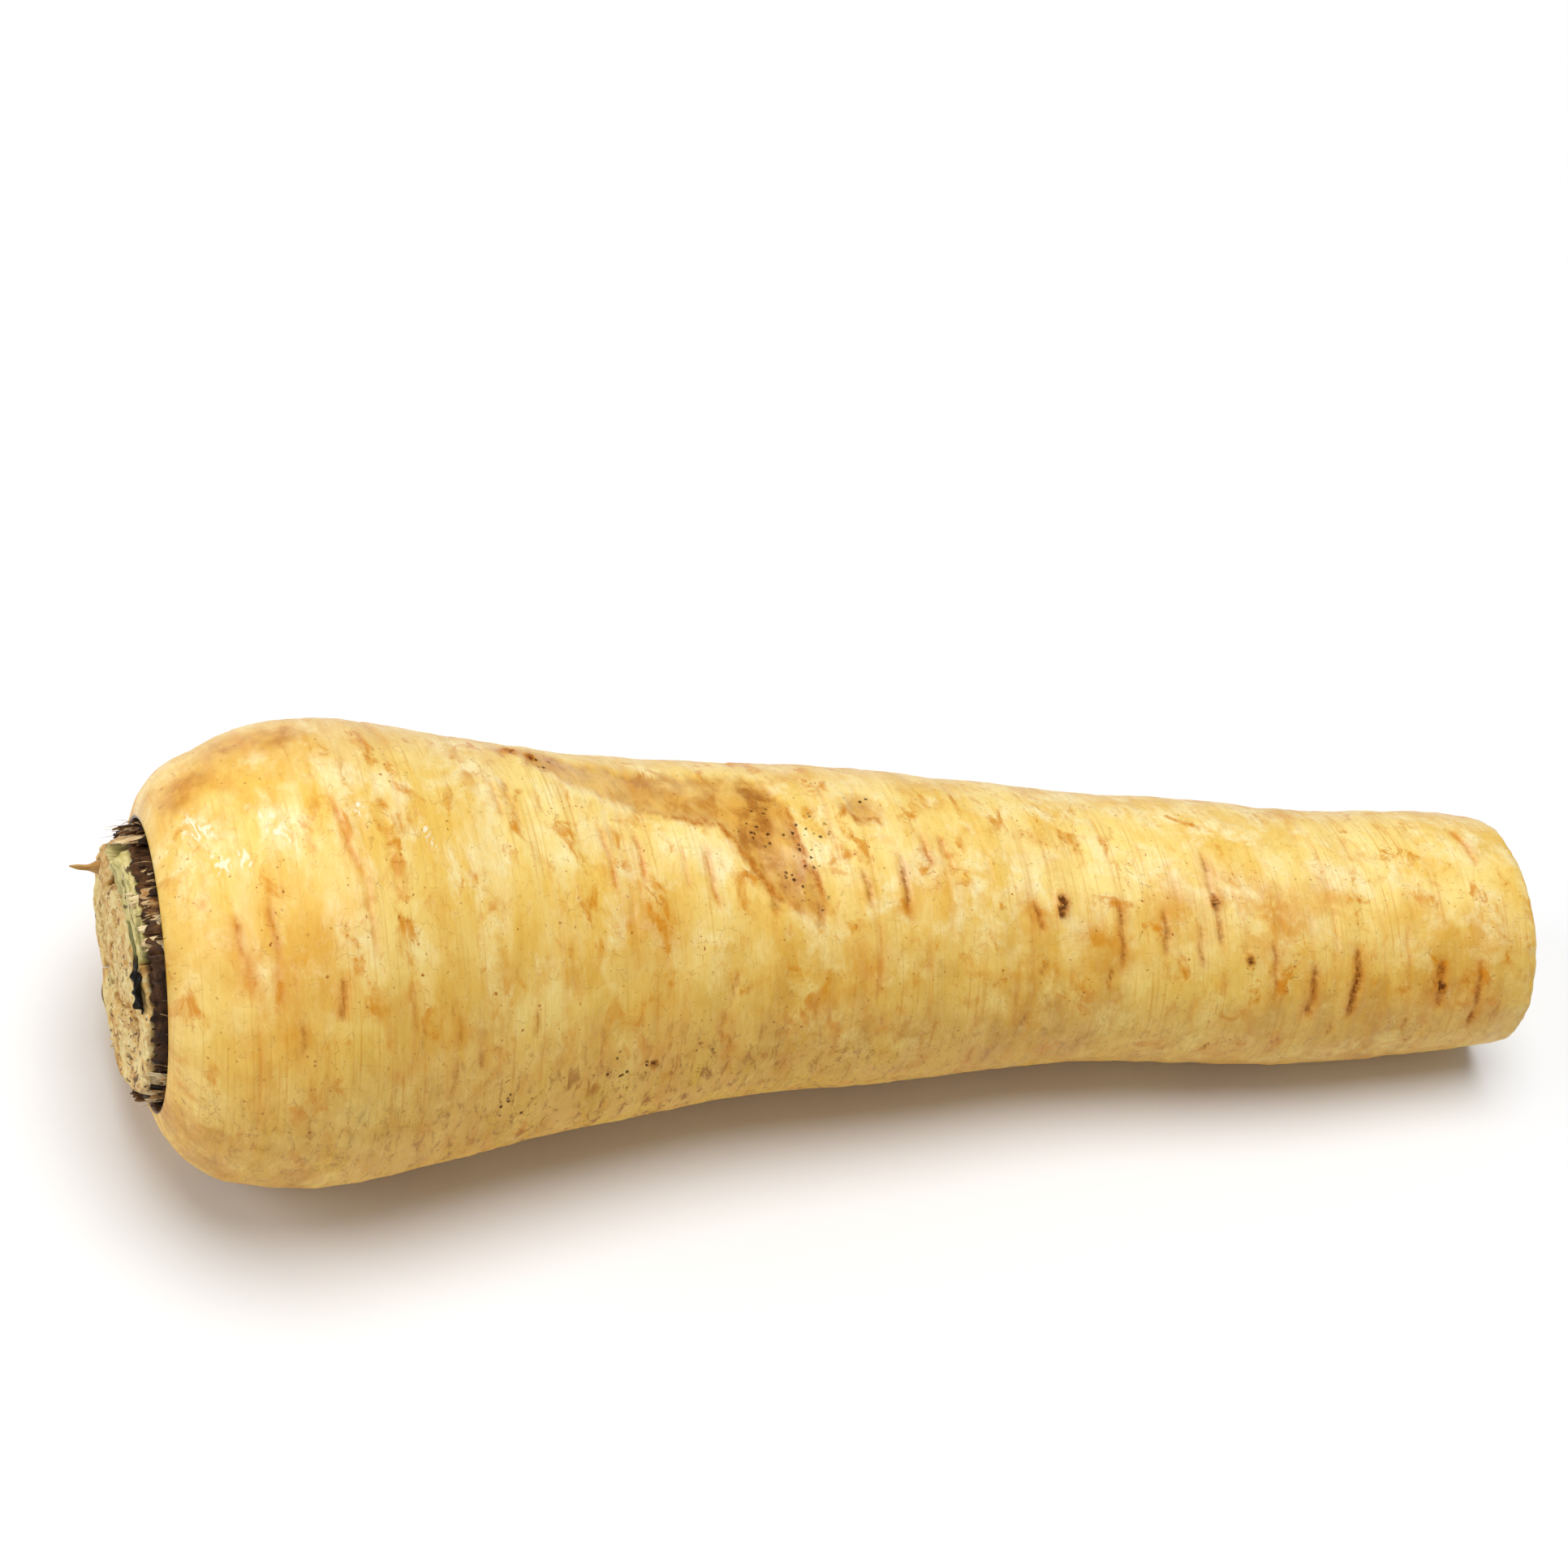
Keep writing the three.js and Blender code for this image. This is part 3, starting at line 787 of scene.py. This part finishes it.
def makeSheath(name, sheath, origin, material):
    first, last, top, tone, strips, fibres, pale = sheath
    built = bmesh.new()
    chance = random.Random(int(first * 7 + last))

    def plate(arc, radius, low, high, lean, curl, thickness, ragged, seed):
        middle = (arc[0] + arc[1]) / 2
        half = (arc[1] - arc[0]) / 2

        def shape(u, v, w):
            rise = 1 + w
            turn = middle + half * u * (1 - 0.3 * rise * ragged)
            torn = noiseOver((u * half * 0.33, 0 * u, 0 * u), 1.5, 3, seed)
            height = low + rise * (high - low) * (1 - ragged * np.abs(torn))
            crumple = noiseOver((u * half * 0.3, height * 0.45, 0 * u), 1.7, 3, seed + 5)
            away = radius + lean * rise + curl * rise * rise + 0.34 * crumple
            return aroundCrown(turn + 0.9 * crumple * rise, away + v * thickness / 2, height)

        return shape

    inset = 0.25 if int(first) % 2 else 0.0        # neighbours overlap like shingles
    broad = plate((first - 3, last + 3), sheaths["radius"] - inset, crown["hollowFloor"] + 0.2, top,
                  lean=0.2, curl=-0.55, thickness=0.3, ragged=0.3, seed=first)
    addBlock(built, (int((last - first) * 0.9), 2, 16), broad, tone)
    for index in range(strips):
        centre = chance.uniform(first + 2, last - 2)
        wide = chance.uniform(1.4, 6.5)
        radius = chance.uniform(*sheaths["stripRadius"])
        high = top * chance.uniform(0.3, 1.3)
        curl = chance.uniform(-1.2, 0.2)
        strip = plate((centre - wide, centre + wide), radius, crown["hollowFloor"] + 0.3, high,
                      lean=chance.uniform(-0.5, 0.4), curl=curl, thickness=0.22,
                      ragged=chance.uniform(0.3, 0.9), seed=first + 11 * index)
        addBlock(built, (10, 1, 10), strip, chance.choice(sheaths["tones"]))
    for index in range(pale):
        centre = chance.uniform(first + 3, last - 3)
        wide = chance.uniform(1.6, 5.0)
        radius = chance.uniform(*sheaths["flakeRadius"])
        flake = plate((centre - wide, centre + wide), radius, chance.uniform(-1.5, 0.5),
                      chance.uniform(2.6, 4.3), lean=chance.uniform(-0.9, -0.2),
                      curl=chance.uniform(-1.2, -0.3), thickness=0.16, ragged=0.8, seed=first + 17 * index)
        addBlock(built, (9, 1, 12), flake, chance.choice((0.85, 1.0)))
    for index in range(fibres):
        start = chance.uniform(first, last)
        radius = chance.uniform(*sheaths["fibreRadius"])
        drift = chance.uniform(-9, 9)
        high = chance.uniform(0.5, 3.2)
        lean = chance.uniform(-1.2, 0.4)
        bend = chance.uniform(-3, 3)
        thin = chance.uniform(0.05, 0.13)

        def fibre(u, v, w):
            rise = 1 + w
            taper = thin * (1.15 - rise)
            turn = start + drift * rise + bend * np.sin(rise * 5) + np.degrees(u * taper / 18)
            away = radius + lean * rise * rise + 0.25 * np.sin(rise * 7 + start) + v * taper
            return aroundCrown(turn, away, -3 + rise * (high + 3) + 0.3 * np.sin(rise * 6))

        addBlock(built, (1, 1, 9), fibre, chance.choice((0.1, 0.3, 0.7, 0.85)))
    finishCrownPiece(built, name, material, origin)


spike = {"turn": 168, "radius": 15.3, "height": 3.6, "length": 5.0, "thickness": 0.95}


def makeSpike(origin, material):
    built = bmesh.new()
    turn = np.array([spike["turn"]])
    middle = aroundCrown(turn, spike["radius"], spike["height"])[0]
    side = aroundCrown(turn + 90, 1.0, 0)[0]
    away = aroundCrown(turn, 1.0, 0)[0]

    def shape(u, v, w):
        rise = 1 + w
        width = spike["thickness"] * (1 - 0.9 * rise ** 1.3) * (1 + 0.25 * np.sin(rise * 9))
        ridge = 1 + 0.25 * noiseOver((u, v, rise * 0.5), 0.6, 2, 2.0)
        x, y = discOf(u, v)
        x = x * width * 1.5 * ridge
        y = y * width * 0.8 * ridge
        bent = np.outer(x, side) + np.outer(y + 0.9 * rise * rise - 0.2 * rise, away)
        return middle + bent + np.outer(rise * spike["length"] - 0.9, (0, 0, 1))

    addBlock(built, (8, 8, 26), shape)
    finishCrownPiece(built, "dried_spike", material, origin)


shred = {"first": 76, "last": 33, "radius": 16.9, "height": 4.3}


def makeShred(origin, material):
    built = bmesh.new()

    def shape(u, v, w):
        # u runs along the shred from its stem to its black, torn end
        run = (u + 1) / 2
        turn = shred["first"] + (shred["last"] - shred["first"]) * run
        blade = smoothStep(run, 0.38, 0.62)
        torn = noiseOver((run * 9, v * 1.4, 0 * u), 1.0, 3, 3.0)
        wide = 0.34 + blade * (1.6 + 1.1 * torn) * (1 - 0.5 * smoothStep(run, 0.9, 1.0))
        fold = noiseOver((run * 12, v * 1.2, 0 * u), 1.6, 2, 7.0)
        radius = shred["radius"] + v * wide + 0.5 * np.sin(run * 4.2) - 0.5 * blade
        height = shred["height"] + 0.55 * fold * (0.4 + blade) - 0.5 * run + 0.4 * blade * np.abs(v)
        return aroundCrown(turn, radius, height + w * (0.32 - 0.12 * blade))

    def blackness(points):
        turn = np.degrees(np.arctan2(points[:, 1], points[:, 0]))
        return smoothStep(shred["first"] - turn, 12, 22)

    addBlock(built, (64, 12, 2), shape, blackness)
    finishCrownPiece(built, "leaf_shred", material, origin)


stalkFinish = {
    "Specular IOR Level": 0.25,
    "Subsurface Weight": 0.05, "Subsurface Radius": (1.0, 0.7, 0.4), "Subsurface Scale": 0.8 * mm,
}


def stalkMaterial(name, tones):
    material, tree, shader = newSurface(name, stalkFinish)
    place = readMark(tree, "place", "Vector")
    grain = readMark(tree, "grain", "Vector")
    face = readMark(tree, "face")
    soft = noiseAt(place, 260, 4, 0.6, 0.4)
    fine = noiseAt(place, 1300, 4, 0.65)
    colour = mixColour(between(soft, 0.4, 0.6), tones["flesh"], tones["patch"])
    colour = mixColour(between(fine, 0.45, 0.7, 0, 0.7), colour, tones["pale"])
    stain = noiseAt(place, 430, 5, 0.65, 1.0)
    colour = mixColour(between(stain, 0.55, 0.68, 0, 0.75), colour, tones["stain"])
    reach = readMark(tree, "reach")
    rings = readMark(tree, "rings", "Vector")
    along = noiseAt(rings, 620, 5, 0.66, 0.3)
    colour = mixColour(between(along, 0.49, 0.63, 0, 0.85), colour, tones["streak"])
    pit = noiseAt(rings, 1050, 3, 0.6, 0.6)
    colour = mixColour(between(pit, 0.595, 0.65, 0, 0.85), colour, tones["pit"])
    ringed = larger(between(reach, 0.0155, 0.0166), between(soft, 0.5, 0.56, 0.0, 0.9))
    vessels = times(dotsAt(place, 760, 0.3, 0.6), ringed)
    colour = mixColour(times(vessels, 0.9), colour, linear(92, 52, 26))
    streaks = noiseAt(grain, (1500, 1500, 130), 4, 0.65)
    wall = mixColour(between(streaks, 0.36, 0.64), tones["wallDark"], tones["wallPale"])
    colour = mixColour(face, wall, colour)
    tree.links.new(colour, shader.inputs["Base Color"])
    tree.links.new(between(fine, 0.3, 0.7, 0.5, 0.8), shader.inputs["Roughness"])
    normal = bumpFrom(fine, 0.6, 0.3 * mm)
    tree.links.new(bumpFrom(streaks, 0.5, 0.3 * mm, normal), shader.inputs["Normal"])
    return material


def driedMaterial(name, ramp, gloss, grainScale=(900, 900, 150)):
    # dry plant skin: its tone picks a colour, streaks run along it
    material, tree, shader = newSurface(name, {"Specular IOR Level": 0.15})
    place = readMark(tree, "place", "Vector")
    grain = readMark(tree, "grain", "Vector")
    tone = readMark(tree, "tone")
    streaks = noiseAt(grain, grainScale, 5, 0.62, 0.5)
    mottle = noiseAt(place, 600, 4, 0.6)
    shifted = maths("ADD", tone, between(streaks, 0.25, 0.75, -0.14, 0.14))
    shifted = maths("ADD", shifted, between(mottle, 0.3, 0.7, -0.14, 0.14))
    made = addNode(tree, "ValToRGB", {0: shifted})
    stops = made.color_ramp.elements        # two are there from the start, at 0 and 1
    for index, (position, colour) in enumerate(ramp):
        stop = stops[index] if index < 2 else stops.new(position)
        stop.position = position
        stop.color = colour
    tree.links.new(made.outputs[0], shader.inputs["Base Color"])
    tree.links.new(between(mottle, 0.3, 0.7, gloss - 0.1, gloss + 0.15), shader.inputs["Roughness"])
    normal = bumpFrom(streaks, 0.6, 0.2 * mm)
    tree.links.new(bumpFrom(mottle, 0.4, 0.3 * mm, normal), shader.inputs["Normal"])
    return material


def makeCrown(shift):
    length = rootShape["length"]
    side, height = rootMiddle(np.array([0.0]))
    origin = Vector((-length / 2, float(side[0]), float(height[0]))) + shift
    fleshMaterial = stalkMaterial("cut_stalk_flesh", {
        "flesh": linear(230, 206, 138), "patch": linear(218, 174, 98), "pale": linear(246, 230, 178),
        "stain": linear(166, 108, 50), "streak": linear(184, 130, 58), "pit": linear(84, 50, 22),
        "wallDark": linear(52, 34, 20), "wallPale": linear(122, 88, 52),
    })
    greenMaterial = stalkMaterial("green_stalk_flesh", {
        "flesh": linear(220, 202, 136), "patch": linear(192, 176, 100), "pale": linear(236, 222, 166),
        "stain": linear(148, 122, 60), "streak": linear(150, 138, 72), "pit": linear(62, 46, 22),
        "wallDark": linear(62, 50, 28), "wallPale": linear(138, 120, 66),
    })
    sheathMaterial = driedMaterial("dry_sheath_skin", [
        (0.0, linear(34, 20, 11)), (1.0, linear(234, 212, 164)), (0.2, linear(68, 43, 24)),
        (0.4, linear(104, 68, 36)), (0.65, linear(168, 122, 68)),
    ], 0.55)
    smoothMaterial = driedMaterial("smooth_sheath_skin", [
        (0.0, linear(44, 28, 18)), (1.0, linear(226, 196, 148)), (0.2, linear(82, 56, 38)),
        (0.45, linear(112, 76, 46)), (0.7, linear(166, 120, 70)),
    ], 0.5, (150, 150, 620))
    leafMaterial = driedMaterial("black_leaf_shred", [
        (0.0, linear(124, 120, 74)), (1.0, linear(14, 8, 3)), (0.5, linear(64, 54, 26)),
    ], 0.75)
    tipMaterial = driedMaterial("dried_tip_skin", [
        (0.0, linear(132, 86, 40)), (1.0, linear(214, 182, 122)), (0.5, linear(182, 138, 76)),
    ], 0.5)

    makeHeart(origin, fleshMaterial)
    top = crown["stubHeight"]
    for ring in ("inner", "outer"):
        for index, (first, last, extra) in enumerate(stalks[ring], 1):
            green = ring == "outer" and index == 1
            look = (greenMaterial, "green_stalk") if green else (fleshMaterial, "cut_stalk")
            makeStalk(f"{ring}_stalk_{index}", stalks[ring + "Ring"], (first, last), top + extra, origin,
                      *look, green)
    for index, sheath in enumerate(sheaths["plates"], 1):
        makeSheath(f"dry_sheath_{index}", sheath, origin, smoothMaterial if index == 1 else sheathMaterial)
    makeSpike(origin, tipMaterial)
    makeShred(origin, leafMaterial)
    print("crown: leaf bases, sheaths, spike and shred")


paperFloor = {"halfSize": 4.0, "low": (0.91, 0.918, 0.934, 1), "high": (0.925, 0.933, 0.948, 1)}


def makeFloor():
    built = bmesh.new()
    bmesh.ops.create_grid(built, x_segments=2, y_segments=2, size=paperFloor["halfSize"])
    mesh = meshFrom(built, "floor")
    material, tree, shader = newSurface("floor_paper", {"Roughness": 0.8, "Specular IOR Level": 0.2})
    place = addNode(tree, "TexCoord").outputs["Object"]
    cloud = noiseAt(place, 9, 3, 0.5)
    colour = mixColour(cloud, paperFloor["low"], paperFloor["high"])
    tree.links.new(colour, shader.inputs["Base Color"])
    mesh.materials.append(material)
    newObject("floor", mesh)
    print("floor")


softboxes = {
    # distance in metres, lean off the upright towards the camera, size, power
    "key": {"distance": 2.2, "lean": -3.0, "size": 1.6, "power": 41.5},
    "fill": {"place": Vector((-1.6, 0.15, 0.75)), "size": 1.1, "power": 11.0},
    "world": 0.24,
}


def areaLight(name, place, size, power):
    # a round softbox that faces the middle of the floor
    data = bpy.data.lights.new(name, "AREA")
    data.shape = "DISK"
    data.size = size
    data.energy = power
    turned = place.to_track_quat("Z", "Y").to_matrix().to_4x4()
    newObject(name, data).matrix_world = Matrix.Translation(place) @ turned


def makeLights():
    azimuth = math.radians(viewpoint["azimuth"])
    key, fill = softboxes["key"], softboxes["fill"]
    lean = math.radians(key["lean"])
    towardsCamera = Vector((math.sin(azimuth), -math.cos(azimuth), 0))
    place = key["distance"] * (towardsCamera * math.sin(lean) + Vector((0, 0, math.cos(lean))))
    areaLight("key", place, key["size"], key["power"])
    areaLight("fill", fill["place"], fill["size"], fill["power"])
    world = bpy.data.worlds.new("studio")
    world.use_nodes = True
    world.node_tree.nodes["Background"].inputs[0].default_value = (1, 1, 1, 1)
    world.node_tree.nodes["Background"].inputs[1].default_value = softboxes["world"]
    bpy.context.scene.world = world
    bpy.context.scene.view_settings.view_transform = "Standard"
    print("lights: key, fill and world")


viewpoint = {
    "azimuth": -24.55, "elevation": 50.0, "roll": 17.24,      # degrees
    "distance": 0.6161, "lens": 90.0,
    "aim": Vector((7.8, 49.6, 0)) * mm,                        # from the middle of the footprint
}


def makeCamera():
    azimuth, elevation, roll = (math.radians(viewpoint[key]) for key in ("azimuth", "elevation", "roll"))
    back = Vector((math.sin(azimuth) * math.cos(elevation), -math.cos(azimuth) * math.cos(elevation),
                   math.sin(elevation)))
    right = Vector((math.cos(azimuth), math.sin(azimuth), 0))
    up = back.cross(right)
    turned = Matrix((right * math.cos(roll) + up * math.sin(roll),
                     up * math.cos(roll) - right * math.sin(roll), back)).transposed()
    low, high = cadBox
    aim = Vector(((low.x + high.x) / 2, (low.y + high.y) / 2, low.z)) + viewpoint["aim"]
    data = bpy.data.cameras.new("camera")
    data.lens = viewpoint["lens"]
    camera = newObject("camera", data)
    camera.matrix_world = Matrix.Translation(aim + back * viewpoint["distance"]) @ turned.to_4x4()
    bpy.context.scene.camera = camera
    print("camera")


makeCamera()
makeFloor()
makeLights()
makeCrown(makeRoot())
